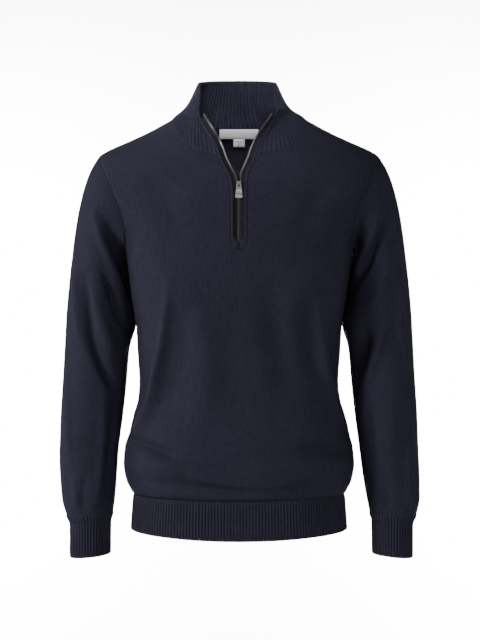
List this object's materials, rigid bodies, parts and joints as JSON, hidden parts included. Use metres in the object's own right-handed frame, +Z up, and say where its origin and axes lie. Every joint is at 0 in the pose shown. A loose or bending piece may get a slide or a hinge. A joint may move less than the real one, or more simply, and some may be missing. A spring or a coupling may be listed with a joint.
{
  "type": "quarter zip sweater",
  "caption": "Fine knit pullover with long sleeves, ribbed stand collar, cuffs and hem, and a short front zip with a pull tab, in its worn hollow form.",
  "frame": {"origin": "on the middle plane between the two neck points, level with the top of the shoulders, where the wearer's shoulders hold the garment", "axes": "X across from the wearer's right sleeve to the left one, -Y out of the front with the zip, +Z up"},
  "size_m": [0.5717, 0.2469, 0.7636],
  "materials": {
    "navy_knit": "matt fine jersey knit",
    "navy_rib": "matt rib knit",
    "dark_tape": "matt woven tape",
    "bright_metal": "polished",
    "label_cloth": "satin woven label"
  },
  "bodies": {
    "garment": {"front_panel": "navy_knit", "back_panel": "navy_knit", "sleeve_left": "navy_knit", "sleeve_right": "navy_knit", "cuff_left": "navy_rib", "cuff_right": "navy_rib", "hem_rib_front": "navy_rib", "hem_rib_back": "navy_rib", "collar": "navy_rib", "zip_binding_left": "navy_rib", "zip_binding_right": "navy_rib", "zip_tape_left": "dark_tape", "zip_tape_right": "dark_tape", "zip_teeth_left": "bright_metal", "zip_teeth_right": "bright_metal", "zip_slider": "bright_metal", "neck_label": "label_cloth", "size_label": "label_cloth"},
    "pull_tab": {"pull_tab": "bright_metal"}
  },
  "joints": [
    {"name": "pull_tab_swing", "type": "hinge", "parent": "garment", "child": "pull_tab", "pos_m": [0, -0.10669, -0.11479], "axis": [-1, 0, 0], "range_deg": [0, 160]}
  ]
}
